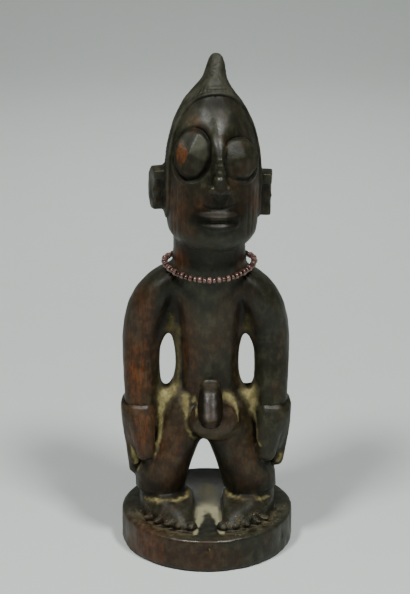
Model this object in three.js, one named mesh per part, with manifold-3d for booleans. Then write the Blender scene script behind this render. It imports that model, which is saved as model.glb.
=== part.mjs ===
// A standing twin figure carved from one block of wood, with a string of glass beads round its neck.
// Millimetres, +Z up. The figure faces -Y, and +X is on the viewer's right.
// The origin is on the underside of the round base, at its centre.
import * as THREE from 'three';
import { mergeVertices } from 'three/addons/utils/BufferGeometryUtils.js';
import Module from 'manifold-3d';

const wasm = await Module();
wasm.setup();

// Driving dimensions
const baseWide = 89.4;
const baseTall = 17.5;
const trunkShift = 1.2; // the trunk stands this far right of the base's centre
const armShift = -0.5; // and the two arms, as a pair, this far
const legShift = -1.6; // and the two legs
const headPlace = new THREE.Vector3(2.5, -3, 200);
const headLean = THREE.MathUtils.degToRad(1.6); // the crown leans to the viewer's right
const headTurn = THREE.MathUtils.degToRad(7); // the face looks a little to the viewer's right
const beadPairs = 29; // one wide and one narrow bead to a pair

// Heights of the landmarks of the carving above the table
const level = {
  sole: baseTall,
  ankle: 30,
  knee: 46,
  crotch: 56,
  wrist: 77,
  hip: 87,
  waist: 100,
  armpit: 124,
  shoulder: 149,
  beads: 150.6,
  jaw: 168,
};

// Materials
const darkWood = new THREE.MeshStandardMaterial({ color: 0x3a2a20, roughness: 0.42, metalness: 0 });
const wideBeadGlass = new THREE.MeshStandardMaterial({ color: 0x8a5f58, roughness: 0.3, metalness: 0 });
const narrowBeadGlass = new THREE.MeshStandardMaterial({ color: 0x5a2c26, roughness: 0.3, metalness: 0 });
const cotton = new THREE.MeshStandardMaterial({ color: 0x3b2420, roughness: 0.9, metalness: 0 });

// Merges a closed geometry's shared corners, drops faces that collapsed to a line, and faces it outward.
function solidOf(geometry) {
  const bare = new THREE.BufferGeometry();
  bare.setAttribute('position', geometry.getAttribute('position').clone());
  if (geometry.index) bare.setIndex(geometry.index.clone());
  const merged = mergeVertices(bare, 1e-4);
  const corners = merged.attributes.position;
  const faces = [];
  let volume = 0;
  const a = new THREE.Vector3();
  const b = new THREE.Vector3();
  const c = new THREE.Vector3();
  for (let i = 0; i < merged.index.count; i += 3) {
    const [p, q, r] = [0, 1, 2].map((k) => merged.index.getX(i + k));
    if (p === q || q === r || r === p) continue;
    faces.push(p, q, r);
    a.fromBufferAttribute(corners, p);
    b.fromBufferAttribute(corners, q);
    c.fromBufferAttribute(corners, r);
    volume += a.dot(b.cross(c));
  }
  if (volume < 0) faces.reverse();
  return new wasm.Manifold(
    new wasm.Mesh({
      numProp: 3,
      vertProperties: new Float32Array(corners.array),
      triVerts: new Uint32Array(faces),
    }),
  );
}

// Gives a solid back as a three.js geometry.
function geometryOf(solid) {
  const mesh = solid.getMesh();
  const geometry = new THREE.BufferGeometry();
  geometry.setAttribute('position', new THREE.BufferAttribute(new Float32Array(mesh.vertProperties), 3));
  geometry.setIndex(new THREE.BufferAttribute(new Uint32Array(mesh.triVerts), 1));
  geometry.computeVertexNormals();
  return geometry;
}

const joined = (solids) => solids.reduce((whole, next) => whole.add(next));

// A limb or trunk as level rings, from the lowest station up. Each station has its centre x, y, z, and how
// wide and deep the ring is there. The skin runs in a smooth curve through the stations. `square` above 2
// makes the rings boxier than an ellipse, `ridge` draws every second column of corners in by that share, and
// `slant` lifts the back of each ring by that share of its distance from the centre.
function carvedForm(stations, { sides = 14, rows = 1, square = 2, ridge = 0, slant = 0 } = {}) {
  const spans = stations.length - 1;
  const skin = new THREE.CylinderGeometry(1, 1, 1, sides, spans * rows);
  const smooth = (points) => new THREE.CatmullRomCurve3(points, false, 'catmullrom', 0.5);
  const centres = smooth(stations.map((s) => new THREE.Vector3(s.x ?? 0, s.y ?? 0, s.z)));
  const sizes = smooth(stations.map((s) => new THREE.Vector3(s.wide / 2, s.deep / 2, 0)));
  const corners = skin.attributes.position;
  for (let i = 0; i < corners.count; i += 1) {
    const along = THREE.MathUtils.clamp(corners.getY(i) + 0.5, 0, 1);
    const across = corners.getX(i);
    const back = -corners.getZ(i);
    const reach = Math.hypot(across, back);
    const column = Math.round((Math.atan2(across, back) / (Math.PI * 2)) * sides);
    const rounded = (Math.abs(across) ** square + Math.abs(back) ** square) ** (1 / square);
    const boxy = reach > 0 ? reach / rounded : 0;
    const drawn = boxy * (column % 2 === 0 ? 1 : 1 - ridge);
    const centre = centres.getPoint(along);
    const size = sizes.getPoint(along);
    const behind = back * drawn * size.y;
    corners.setXYZ(i, centre.x + across * drawn * size.x, centre.y + behind, centre.z + behind * slant);
  }
  return solidOf(skin);
}

// An egg or pebble of the given full sizes, turned about X, Y and Z and set at a place.
function pebble(at, size, { turn = [0, 0, 0], sides = 12, rows = 8 } = {}) {
  const ball = new THREE.SphereGeometry(0.5, sides, rows);
  ball.rotateX(Math.PI / 2);
  ball.scale(...size);
  ball.rotateX(turn[0]);
  ball.rotateY(turn[1]);
  ball.rotateZ(turn[2]);
  ball.translate(...at);
  return solidOf(ball);
}

// A long spindle that cuts a V-shaped groove which fades out at both ends.
function grooveCutter(at, [wide, deep, long], turn = [0, 0, 0]) {
  const spindle = new THREE.OctahedronGeometry(0.5);
  spindle.scale(wide, deep, long);
  spindle.rotateX(turn[0]);
  spindle.rotateY(turn[1]);
  spindle.rotateZ(turn[2]);
  spindle.translate(...at);
  return solidOf(spindle);
}

// The round base, with a worn top edge
function roundBase() {
  const edge = baseWide / 2;
  const profile = [
    [0, 0],
    [edge - 0.7, 0],
    [edge, 1.6],
    [edge - 0.3, baseTall - 1],
    [edge - 1.6, baseTall],
    [0, baseTall],
  ];
  const turned = new THREE.LatheGeometry(
    profile.map(([radius, rise]) => new THREE.Vector2(radius, rise)),
    36,
  );
  return solidOf(turned.rotateX(Math.PI / 2));
}

// The short heavy leg, wider at the bottom than at the hip. side is -1 on the viewer's left and 1 on the
// right.
function leg(side) {
  const broader = side > 0 ? 2 : 0; // the viewer's right leg is the heavier one
  const stations = [
    { x: 22.6, y: -2, z: level.ankle - 1.5, wide: 20.6, deep: 23 },
    { x: 22.8, y: -2, z: level.ankle + 0.5, wide: 26.2, deep: 28 },
    { x: 21.7, y: -2, z: level.knee - 8, wide: 27.6, deep: 28.5 },
    { x: 18.8, y: -2.4, z: level.knee, wide: 26.4, deep: 28 },
    { x: 14.2, y: -1.2, z: level.crotch + 1, wide: 26, deep: 28 },
    { x: 12.6, y: 0.6, z: level.crotch + 11, wide: 24, deep: 28.6 },
    { x: 10.8, y: 1.5, z: level.hip - 9, wide: 20, deep: 27.6 },
    { x: 9.6, y: 2, z: level.hip - 1, wide: 13, deep: 19 },
  ];
  const placed = stations.map((s) => ({
    ...s,
    x: side * (s.x + broader / 2) + legShift,
    wide: s.wide + broader,
  }));
  return carvedForm(placed, { sides: 14, square: 2.15 });
}

// A fan-shaped foot with five toes. It follows the base's rim and slopes down to it from a ledge at the instep.
function foot(side) {
  const rimReach = baseWide / 2 - 9.4;
  const innerEdge = side > 0 ? 8 : 7;
  const fan = { top: 27.4, bottom: 50.4, tall: 30, back: 8, low: 10 };
  const mound = carvedForm(
    [
      { x: 23.2, y: -12, z: level.sole - 1, wide: 41, deep: 56 },
      { x: 23.2, y: -12, z: level.sole + 2, wide: 40.6, deep: 55 },
      { x: 22.8, y: -11, z: level.sole + 6, wide: 37.4, deep: 50 },
      { x: 22.6, y: -8.4, z: level.sole + 9.2, wide: 32, deep: 38.5 },
      { x: 23, y: -6, z: level.sole + 10.2, wide: 26, deep: 30 },
      { x: 23.5, y: -2, z: level.ankle + 2, wide: 20, deep: 21 },
    ].map((s) => ({ ...s, x: side * s.x })),
    { sides: 14 },
  );
  const rim = new THREE.CylinderGeometry(rimReach, rimReach, 40, 28).rotateX(Math.PI / 2);
  const slope = new THREE.CylinderGeometry(fan.top, fan.bottom, fan.tall, 28).rotateX(Math.PI / 2);
  const inner = new THREE.BoxGeometry(40, 90, 40).translate(side * (innerEdge - 20), 0, 20);
  const sole = mound
    .intersect(solidOf(rim.translate(0, 0, level.sole + 10)))
    .intersect(solidOf(slope.translate(0, fan.back, fan.low + fan.tall / 2)))
    .subtract(solidOf(inner));
  const toes = [14, 25, 35, 45, 54.5].map((degrees, place) => {
    const bearing = side * THREE.MathUtils.degToRad(degrees);
    const reach = rimReach - 3.6 + place * 0.9;
    const thick = 6 - place * 0.3;
    return pebble(
      [Math.sin(bearing) * reach, -Math.cos(bearing) * reach, level.sole + 1.6],
      [thick, 10, thick - 0.6],
      { turn: [-0.24, 0, bearing], sides: 6, rows: 4 },
    );
  });
  return joined([sole, ...toes]);
}

// The straight trunk and the thick neck, in one from the crotch to inside the jaw
function trunk() {
  const stations = [
    { y: 2, z: level.crotch + 1, wide: 13, deep: 18 },
    { y: 3, z: level.crotch + 8, wide: 24, deep: 26 },
    { y: 3.5, z: level.hip - 10, wide: 32, deep: 29 },
    { y: 2, z: level.hip + 2, wide: 31, deep: 28 },
    { y: 0, z: level.waist, wide: 29, deep: 25 },
    { y: -0.4, z: level.armpit - 12, wide: 29.6, deep: 25.4 },
    { y: 0.4, z: level.armpit, wide: 32.4, deep: 27 },
    { y: 1.4, z: level.shoulder - 12, wide: 38, deep: 29 },
    { y: 2, z: level.shoulder - 3.4, wide: 41, deep: 29.6 },
    { y: 2, z: level.shoulder + 3, wide: 38, deep: 31.4 },
    { y: 1.4, z: level.jaw - 8, wide: 37, deep: 31 },
    { y: -1, z: level.jaw + 3, wide: 36.4, deep: 28 },
  ];
  return carvedForm(
    stations.map((s) => ({ ...s, x: trunkShift })),
    { sides: 16, square: 2.2 },
  );
}

// The broad shoulders behind the chest, which join it to the two arms
function yoke() {
  const stations = [
    { z: level.armpit - 2, wide: 30, deep: 8 },
    { z: level.armpit + 5, wide: 42, deep: 16 },
    { z: level.armpit + 11, wide: 50, deep: 22 },
    { z: level.armpit + 18, wide: 54, deep: 26.6 },
    { z: level.shoulder - 1.6, wide: 45, deep: 27.6 },
    { z: level.shoulder + 2, wide: 38, deep: 25 },
  ];
  return carvedForm(
    stations.map((s) => ({ ...s, x: trunkShift, y: 1.6 })),
    { sides: 18, square: 2.2 },
  );
}

// The two round buttocks
function seat() {
  return joined(
    [-1, 1].map((side) =>
      pebble([trunkShift + side * 9.2, 9, level.hip - 10], [24, 28, 31], { sides: 10, rows: 6 }),
    ),
  );
}

// The arm, which comes round from the shoulder in one bow and hangs to the wrist
function arm(side) {
  const stations = [
    { x: 33.2, y: -3, z: level.wrist - 2, wide: 16.2, deep: 15 },
    { x: 33.5, y: -2.6, z: level.wrist + 3, wide: 17.2, deep: 17 },
    { x: 33.6, y: 0, z: 90, wide: 18.2, deep: 19 },
    { x: 33.7, y: 2.6, z: level.waist, wide: 18.8, deep: 20.5 },
    { x: 33, y: 3.2, z: 112, wide: 20.2, deep: 21.5 },
    { x: 31.2, y: 2.6, z: 121, wide: 22, deep: 23 },
    { x: 28.8, y: 1.8, z: 130, wide: 22.6, deep: 25 },
    { x: 25.6, y: 1.4, z: 138, wide: 21.6, deep: 26 },
    { x: 22.4, y: 1.6, z: 143.4, wide: 18.4, deep: 25 },
    { x: 19.2, y: 2, z: level.shoulder - 2, wide: 15, deep: 22.5 },
    { x: 15.6, y: 2.2, z: level.shoulder + 1.8, wide: 8, deep: 13 },
  ];
  return carvedForm(
    stations.map((s) => ({ ...s, x: side * s.x + armShift })),
    { sides: 12, square: 2.15 },
  );
}

// The hand laid flat on the thigh: a palm a step wider than the wrist, a thumb in front, and four fingers
function hand(side) {
  const longer = side < 0 ? 6 : 0; // the viewer's left hand reaches lower
  const shift = (s) => ({ ...s, x: side * s.x + armShift });
  const palm = carvedForm(
    [
      { x: 34, y: -1, z: 52, wide: 11, deep: 14 },
      { x: 34.2, y: -1.6, z: 58, wide: 15.5, deep: 18 },
      { x: 34.6, y: -2.2, z: 66, wide: 18, deep: 20.5 },
      { x: 34.6, y: -2.8, z: 74, wide: 19, deep: 21.5 },
      { x: 34.4, y: -3, z: level.wrist, wide: 19.2, deep: 20.5 },
      { x: 34.2, y: -3, z: level.wrist + 1.4, wide: 18, deep: 19 },
    ].map(shift),
    { sides: 12, square: 2.6, slant: 0.3 },
  );
  const thumb = carvedForm(
    [
      { x: 31, y: -12, z: 48, wide: 5, deep: 3.5 },
      { x: 31.1, y: -12.2, z: 50, wide: 9, deep: 6.8 },
      { x: 31.8, y: -12.2, z: 60, wide: 12, deep: 9 },
      { x: 33.2, y: -10.2, z: 71, wide: 14.6, deep: 10.4 },
      { x: 34, y: -8, z: level.wrist + 0.6, wide: 13, deep: 8.6 },
    ].map(shift),
    { sides: 10, square: 2.3 },
  );
  const fingers = [
    { y: -5.4, tip: 43 },
    { y: -0.4, tip: 40 },
    { y: 4.6, tip: 41.5 },
    { y: 9.2, tip: 46 },
  ].map(({ y, tip }, place) => {
    const end = tip - (place > 0 ? longer : 0) * 0.8;
    return carvedForm(
      [
        { x: 37, y, z: end, wide: 3, deep: 2.6 },
        { x: 37.2, y, z: end + 1.8, wide: 6, deep: 4.8 },
        { x: 39, y, z: 62, wide: 8.4, deep: 5.6 },
        { x: 39.4, y: y * 0.9, z: 71, wide: 5, deep: 4.4 },
      ].map(shift),
      { sides: 6, square: 2.4 },
    );
  });
  return joined([palm, thumb, ...fingers]);
}

// The thin wood left between the arm and hand on one side and the trunk and thigh on the other
function web(side) {
  const outline = new THREE.Shape([
    new THREE.Vector2(12, 60),
    new THREE.Vector2(24, 46),
    new THREE.Vector2(32, 46),
    new THREE.Vector2(34, 80),
    new THREE.Vector2(34, 120),
    new THREE.Vector2(26, 133),
    new THREE.Vector2(12, 133),
  ]);
  const plate = new THREE.ExtrudeGeometry(outline, { depth: 13, bevelEnabled: false });
  plate.rotateX(Math.PI / 2).translate(0, 9, 0);
  if (side < 0) plate.scale(-1, 1, 1);
  return solidOf(plate);
}

// The leaf-shaped hole through the web
function webHole(side) {
  const leaf = new THREE.Shape();
  leaf.moveTo(19.4, 115.8);
  leaf.bezierCurveTo(22.6, 112.6, 24.4, 107, 24.4, 100);
  leaf.bezierCurveTo(24.4, 91, 24.6, 82.4, 21.6, 82);
  leaf.bezierCurveTo(18.4, 81.8, 16.1, 89, 16.1, 98);
  leaf.bezierCurveTo(16.1, 106, 17.2, 112, 19.4, 115.8);
  const bar = new THREE.ExtrudeGeometry(leaf, { depth: 80, bevelEnabled: false, curveSegments: 4 });
  bar.rotateX(Math.PI / 2).translate(0, 40, 0);
  if (side < 0) bar.scale(-1, 1, 1);
  return solidOf(bar);
}

// The carved male member and the rounded form behind it
function loins() {
  const member = carvedForm(
    [
      { x: 1.8, y: -24.6, z: 72, wide: 6, deep: 5.5 },
      { x: 1.8, y: -24.4, z: 74, wide: 12, deep: 9.6 },
      { x: 1.8, y: -22.8, z: 79.6, wide: 14.2, deep: 12.4 },
      { x: 1.8, y: -19.6, z: 85, wide: 14, deep: 12.6 },
      { x: 1.8, y: -16, z: 89.4, wide: 12.8, deep: 11.5 },
      { x: 1.8, y: -11.8, z: 92, wide: 8.6, deep: 7 },
    ],
    { sides: 10 },
  );
  const pouch = pebble([3.4, -12.6, 70.6], [27, 19.5, 21], { sides: 14, rows: 6 });
  return member.add(pouch);
}

// The head is carved in its own frame, with its origin at its middle, and then leaned, turned and set in
// place. Its stations run from under the jaw to the crown, and on to the tip of the topknot.
const headStations = [
  { y: -4.5, z: -34.5, wide: 26, deep: 29 },
  { y: -5.4, z: -31.5, wide: 35.6, deep: 40 },
  { y: -5.6, z: -26, wide: 44.4, deep: 47 },
  { y: -4.8, z: -15, wide: 49, deep: 51.4 },
  { y: -3, z: 1, wide: 49.6, deep: 54 },
  { y: -0.8, z: 15, wide: 47, deep: 52 },
  { x: -0.2, y: 0.8, z: 27, wide: 40.6, deep: 45 },
  { x: -0.4, y: 2, z: 36.5, wide: 31.2, deep: 35 },
];
const topknotStations = [
  { x: -0.4, y: 3, z: 42.5, wide: 21.4, deep: 25 },
  { x: 0.4, y: 4.2, z: 48, wide: 12.8, deep: 17 },
  { x: 1, y: 5.4, z: 54.5, wide: 10, deep: 13 },
  { x: 1.2, y: 6.2, z: 59.4, wide: 7, deep: 8.5 },
  { x: 1.2, y: 6.4, z: 61, wide: 2.8, deep: 3.4 },
];

function skull() {
  const inset = 2.4;
  const bare = (s) => (s.z > -20 ? { ...s, wide: s.wide - inset, deep: s.deep - inset } : s);
  const underHair = [...headStations, ...topknotStations.slice(0, 2)];
  return carvedForm(underHair.map(bare), { sides: 20, square: 2.12 });
}

// The dressed hair stands proud of the skull in ridges, frames the face and rises to the topknot
function hair() {
  const mass = carvedForm([...headStations.slice(2), ...topknotStations], {
    sides: 24,
    square: 2.12,
    ridge: 0.024,
  });
  const hairline = { half: 23, temple: 2, shoulder: [16.5, 22], peak: 43.2 };
  const [inward, upward] = hairline.shoulder;
  const faceOutline = new THREE.Shape();
  faceOutline.moveTo(-hairline.half, -60);
  faceOutline.lineTo(-hairline.half, hairline.temple);
  faceOutline.bezierCurveTo(-hairline.half, upward, -inward, hairline.peak, 0, hairline.peak);
  faceOutline.bezierCurveTo(inward, hairline.peak, hairline.half, upward, hairline.half, hairline.temple);
  faceOutline.lineTo(hairline.half, -60);
  const cut = { depth: 60, bevelEnabled: false, curveSegments: 5 };
  const window = new THREE.ExtrudeGeometry(faceOutline, cut).rotateX(Math.PI / 2);
  const nape = new THREE.BoxGeometry(80, 80, 30).translate(0, 0, -37);
  return mass.subtract(solidOf(window)).subtract(solidOf(nape));
}

// The two eyes are not a pair: the one on the viewer's left is the taller and sits higher.
const eyeLean = -0.34;
const eyeTurn = 0.4;
const eyes = {
  left: { side: -1, x: -12.7, front: -18.8, rise: 16.6, wide: 18.8, tall: 24.2, twist: -0.35, steep: 18 },
  right: { side: 1, x: 10.8, front: -20.2, rise: 14.4, wide: 20.8, tall: 19.8, twist: 0, steep: 22 },
};

// A shallow oval hollow round each eye, whose upper edge is the brow
function eyeSocket({ side, x, front }) {
  const hollow = { outward: 0.6, forward: 5, middle: 18.4, size: [24.6, 14, 39] };
  const at = [x + side * hollow.outward, front - hollow.forward, hollow.middle];
  return pebble(at, hollow.size, { turn: [eyeLean, 0, side * eyeTurn], sides: 14, rows: 8 });
}

// A great bulging eye, cut in four flat facets that meet at a point. `twist` turns the facets' edges from
// upright, and `steep` is how far the facets fall back over the pyramid's reach.
function eye({ side, x, front, rise, wide, tall, twist, steep }) {
  const thick = 13.4;
  const reach = 60;
  const tip = 5.6; // the point stands this far in front of the ball's middle
  const taller = 1.2; // the pyramid is stretched upright with the ball
  const turn = [eyeLean, 0, side * eyeTurn];
  const ball = pebble([x, front, rise], [wide, thick, tall], { turn, sides: 12, rows: 6 });
  const facets = new THREE.ConeGeometry(reach, steep, 4).rotateY(twist).rotateX(Math.PI);
  facets.translate(0, steep / 2 - tip, 0).scale(1, 1, taller);
  facets.rotateX(eyeLean).rotateZ(side * eyeTurn);
  facets.translate(x, front, rise);
  return ball.intersect(solidOf(facets));
}

function nose() {
  const bridge = carvedForm(
    [
      { y: -28.2, z: -0.2, wide: 6.6, deep: 11 },
      { y: -29.6, z: 2, wide: 7, deep: 11 },
      { y: -28.4, z: 7, wide: 5.6, deep: 9 },
      { y: -26.2, z: 14, wide: 4.8, deep: 7.4 },
      { y: -22, z: 21.5, wide: 6.4, deep: 4.6 },
      { y: -18, z: 26.5, wide: 6.4, deep: 4 },
    ],
    { sides: 8 },
  );
  const wing = { out: 3.7, front: -30.6, rise: 1.5, size: [4.8, 5.6, 4.4] };
  const wings = [-1, 1].map((side) =>
    pebble([side * wing.out, wing.front, wing.rise], wing.size, { sides: 6, rows: 4 }),
  );
  return joined([bridge, ...wings]);
}

// Full lips that stand out from the face as a band: a tall upper lip over a thin lower one
function mouth() {
  const lip = (z, tall, reach) => pebble([0, -25.6, z], [24, reach, tall], { sides: 12, rows: 5 });
  const cushion = pebble([0, -25.2, -14.6], [25, 11, 16.4], { sides: 10, rows: 6 });
  const parting = pebble([0, -33, -15], [20, 6, 1.2], { sides: 8, rows: 4 });
  return joined([cushion, lip(-12.4, 5.4, 14.6), lip(-17.2, 4.2, 14.2)]).subtract(parting);
}

// A C-shaped ear, open to the front, with a knob in its hollow
function ear(side) {
  const rim = new THREE.Shape();
  rim.moveTo(-6, 11);
  rim.lineTo(2, 11.6);
  rim.bezierCurveTo(9, 9, 9, -8, 1, -12);
  rim.lineTo(-5, -11);
  rim.lineTo(-5, -6);
  rim.lineTo(-0.5, -6);
  rim.bezierCurveTo(3.2, -4.4, 3.4, 4.6, 0, 6.4);
  rim.lineTo(-6, 5.4);
  const slab = new THREE.ExtrudeGeometry(rim, { depth: 11, bevelEnabled: false, curveSegments: 4 });
  // The shape's x runs back along +Y and its y runs up. Its depth runs out from the head.
  slab.rotateX(Math.PI / 2).rotateZ(Math.PI / 2).translate(-5, 0, 0);
  const floor = new THREE.BoxGeometry(10, 12, 15).translate(0.5, 1.5, 0);
  const knob = pebble([3.6, -3, -1], [6, 5.4, 6.4], { sides: 6, rows: 4 });
  const whole = geometryOf(joined([solidOf(slab), solidOf(floor), knob]));
  whole.scale(1, 1, side > 0 ? 1 : 0.93);
  whole.rotateZ(-0.14).translate(24.3, 1, side > 0 ? -9.4 : -6.2);
  if (side < 0) whole.scale(-1, 1, 1);
  return solidOf(whole);
}

// Upright cheek marks, cut as shallow grooves side by side
function cheekMarks(side) {
  const middle = -4.8;
  const reach = 24.2; // from the head's middle line to its skin
  return [40, 48.5, 57, 65.5].map((degrees, place) => {
    const bearing = THREE.MathUtils.degToRad(degrees);
    const at = [side * Math.sin(bearing) * reach, middle - Math.cos(bearing) * reach, -14 + place * 0.6];
    return grooveCutter(at, [1.8, 2.6, 26 - place], [0, 0, side * bearing]);
  });
}

function head() {
  const sides = [-1, 1];
  const bothEyes = Object.values(eyes);
  const face = skull().subtract(joined(bothEyes.map(eyeSocket)));
  const whole = joined([face, hair(), nose(), mouth(), ...bothEyes.map(eye), ...sides.map(ear)]);
  const cut = sides.flatMap(cheekMarks).reduce((rest, mark) => rest.subtract(mark), whole);
  const placed = geometryOf(cut).rotateY(headLean).rotateZ(headTurn);
  return solidOf(placed.translate(headPlace.x, headPlace.y, headPlace.z));
}

function carvedFigure() {
  const sides = [-1, 1];
  const holes = joined(sides.map(webHole));
  const arms = joined([...sides.map(web), ...sides.map(arm)]).subtract(holes);
  return joined([
    roundBase(),
    ...sides.map(foot),
    ...sides.map(leg),
    trunk(),
    yoke(),
    seat(),
    loins(),
    arms,
    ...sides.map(hand),
    head(),
  ]);
}

// The necklace lies round the neck on the slope of the shoulders, where it rides up at both sides.
const loopSize = { wide: 45.4, front: -22, back: 20.6, rise: 3.2 };
const threadThick = 0.7;
const wideBead = { across: 3.4, long: 2.1 };
const narrowBead = { across: 2.7, long: 1.7 };

class NecklaceLoop extends THREE.Curve {
  getPoint(t, target = new THREE.Vector3()) {
    const bearing = t * Math.PI * 2;
    const middle = (loopSize.front + loopSize.back) / 2;
    const reach = (loopSize.back - loopSize.front) / 2;
    return target.set(
      trunkShift + (Math.sin(bearing) * loopSize.wide) / 2,
      middle - Math.cos(bearing) * reach,
      level.beads + loopSize.rise * Math.sin(bearing) ** 2,
    );
  }
}

// A thin closed ring swept along the loop
function necklaceThread(loop) {
  const steps = beadPairs * 2;
  const around = 3;
  const frames = loop.computeFrenetFrames(steps, true);
  const ring = new THREE.TorusGeometry(1, 0.5, around, steps);
  const corners = ring.attributes.position;
  for (let i = 0; i < corners.count; i += 1) {
    const step = (i % (steps + 1)) % steps;
    const angle = (Math.floor(i / (steps + 1)) / around) * Math.PI * 2;
    const point = loop.getPointAt(step / steps);
    point.addScaledVector(frames.normals[step], (Math.cos(angle) * threadThick) / 2);
    point.addScaledVector(frames.binormals[step], (Math.sin(angle) * threadThick) / 2);
    corners.setXYZ(i, point.x, point.y, point.z);
  }
  return geometryOf(solidOf(ring));
}

// One bead, its hole along +Y, drilled for the thread
function bead({ across, long }) {
  const hole = threadThick / 2 + 0.5;
  const profile = [
    [hole, -long / 2],
    [across / 2, -long * 0.26],
    [across / 2, long * 0.26],
    [hole, long / 2],
    [hole, -long / 2],
  ];
  const turned = new THREE.LatheGeometry(
    profile.map(([radius, rise]) => new THREE.Vector2(radius, rise)),
    5,
  );
  return geometryOf(solidOf(turned));
}

const part = new THREE.Group();

const figure = new THREE.Mesh(geometryOf(carvedFigure()), darkWood);
figure.name = 'carved_figure';
part.add(figure);

const loop = new NecklaceLoop();
const thread = new THREE.Mesh(necklaceThread(loop), cotton);
thread.name = 'necklace_thread';
part.add(thread);

const alongHole = new THREE.Vector3(0, 1, 0);
for (let place = 0; place < beadPairs * 2; place += 1) {
  const isWide = place % 2 === 0;
  const glass = isWide ? wideBeadGlass : narrowBeadGlass;
  const strung = new THREE.Mesh(bead(isWide ? wideBead : narrowBead), glass);
  const t = place / (beadPairs * 2);
  strung.position.copy(loop.getPointAt(t));
  strung.quaternion.setFromUnitVectors(alongHole, loop.getTangentAt(t));
  const pair = String(Math.floor(place / 2) + 1).padStart(2, '0');
  strung.name = isWide ? `wide_bead_${pair}` : `narrow_bead_${pair}`;
  part.add(strung);
}

export default part;
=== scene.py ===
# A carved wood twin figure with a string of glass beads round its neck, dressed for rendering.
# Sizes are millimetres, and metres in the studio. The figure faces -Y and +X is on the viewer's right.
import math

import bmesh
import bpy
import numpy as np
from mathutils import Matrix, Vector


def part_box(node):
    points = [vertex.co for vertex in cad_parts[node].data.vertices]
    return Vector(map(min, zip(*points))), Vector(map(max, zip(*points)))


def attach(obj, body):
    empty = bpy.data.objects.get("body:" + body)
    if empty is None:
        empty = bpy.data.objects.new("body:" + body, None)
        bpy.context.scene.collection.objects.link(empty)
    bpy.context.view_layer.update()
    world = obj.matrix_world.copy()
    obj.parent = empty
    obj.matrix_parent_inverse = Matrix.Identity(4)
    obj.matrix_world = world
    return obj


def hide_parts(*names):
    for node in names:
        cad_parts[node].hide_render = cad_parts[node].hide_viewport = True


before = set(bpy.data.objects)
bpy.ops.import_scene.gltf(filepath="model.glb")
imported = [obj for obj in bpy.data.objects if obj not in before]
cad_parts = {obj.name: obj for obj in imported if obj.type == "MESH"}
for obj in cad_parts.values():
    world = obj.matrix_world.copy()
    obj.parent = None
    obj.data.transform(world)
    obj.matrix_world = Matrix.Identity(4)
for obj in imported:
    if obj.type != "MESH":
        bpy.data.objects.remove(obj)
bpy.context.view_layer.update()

scene = bpy.context.scene
mm = 0.001


# Small tools

def ramp(value, low, high):
    t = np.clip((value - low) / (high - low), 0, 1)
    return t * t * (3 - 2 * t)


def band(value, low, high, soft):
    return ramp(value, low - soft, low + soft) * (1 - ramp(value, high - soft, high + soft))


def spot(points, centre, size):  # 1 at the centre, fading away over the three half sizes
    away = (points - np.array(centre)) / np.array(size)
    return np.exp(-(away ** 2).sum(1))


def seam(points, path, thick):  # 1 along a broken line, fading away over a thickness that may change
    best = np.zeros(len(points))
    for (start, end), (wide, narrow) in zip(zip(path, path[1:]), zip(thick, thick[1:])):
        start, along = np.array(start, float), np.array(end, float) - np.array(start, float)
        share = np.clip((points - start) @ along / (along @ along), 0, 1)
        away = np.linalg.norm(points - start - share[:, None] * along, axis=1)
        best = np.maximum(best, np.exp(-(away / (wide + (narrow - wide) * share)) ** 2))
    return best


# Large odd numbers that scramble a place and a seed into one random value
scramble = {"place": (73856093, 19349663, 83492791), "seed": 40503, "key": 1274126177}
seedStep = 31.7  # cells from one seed's pattern to the next


def lumps(points, size, seed=1):  # smooth random swellings between -1 and 1
    cell = points / np.array(size) + seedStep * seed
    low = np.floor(cell)
    blend = cell - low
    blend = blend * blend * (3 - 2 * blend)
    low = low.astype(np.int64)
    total = np.zeros(len(points))
    for corner in range(8):
        step = np.array([corner & 1, corner >> 1 & 1, corner >> 2 & 1])
        key = ((low + step) * np.array(scramble["place"])).sum(1) + seed * scramble["seed"]
        key = (key ^ (key >> 13)) * scramble["key"]
        value = ((key >> 9) & 65535) / 32767.5 - 1
        total += value * np.where(step == 1, blend, 1 - blend).prod(1)
    return total


def pointsOf(mesh):
    flat = np.empty(len(mesh.vertices) * 3, np.float32)
    mesh.vertices.foreach_get("co", flat)
    return flat.reshape(-1, 3).astype(float) / mm


def normalsOf(mesh):
    flat = np.empty(len(mesh.vertices) * 3, np.float32)
    mesh.vertex_normals.foreach_get("vector", flat)
    return flat.reshape(-1, 3).astype(float)


def edgesOf(mesh):
    flat = np.empty(len(mesh.edges) * 2, np.int32)
    mesh.edges.foreach_get("vertices", flat)
    return flat.reshape(-1, 2)


def movePoints(mesh, points):
    mesh.vertices.foreach_set("co", (points * mm).astype(np.float32).ravel())
    mesh.update()


def relax(points, edges, weight, rounds):  # draws each point towards the middle of its neighbours
    first, second = edges.T
    count = len(points)
    shared = np.bincount(edges.ravel(), minlength=count)
    for _ in range(rounds):
        middle = np.empty_like(points)
        for axis in range(3):
            column = points[:, axis]
            ahead = np.bincount(first, column[second], count)
            middle[:, axis] = ahead + np.bincount(second, column[first], count)
        points = points + weight[:, None] * (middle / shared[:, None] - points)
    return points


def newPiece(name, mesh):
    piece = bpy.data.objects.new(name, mesh)
    scene.collection.objects.link(piece)
    return piece


def settle(piece):  # bakes the piece's modifiers into its mesh
    graph = bpy.context.evaluated_depsgraph_get()
    mesh = bpy.data.meshes.new_from_object(piece.evaluated_get(graph))
    piece.modifiers.clear()
    old = piece.data
    piece.data = mesh
    bpy.data.meshes.remove(old)
    return mesh


def paint(mesh, name, values):
    layer = mesh.attributes.new(name, "FLOAT", "POINT")
    layer.data.foreach_set("value", np.clip(values, 0, 1).astype(np.float32))


# Material tools

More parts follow.
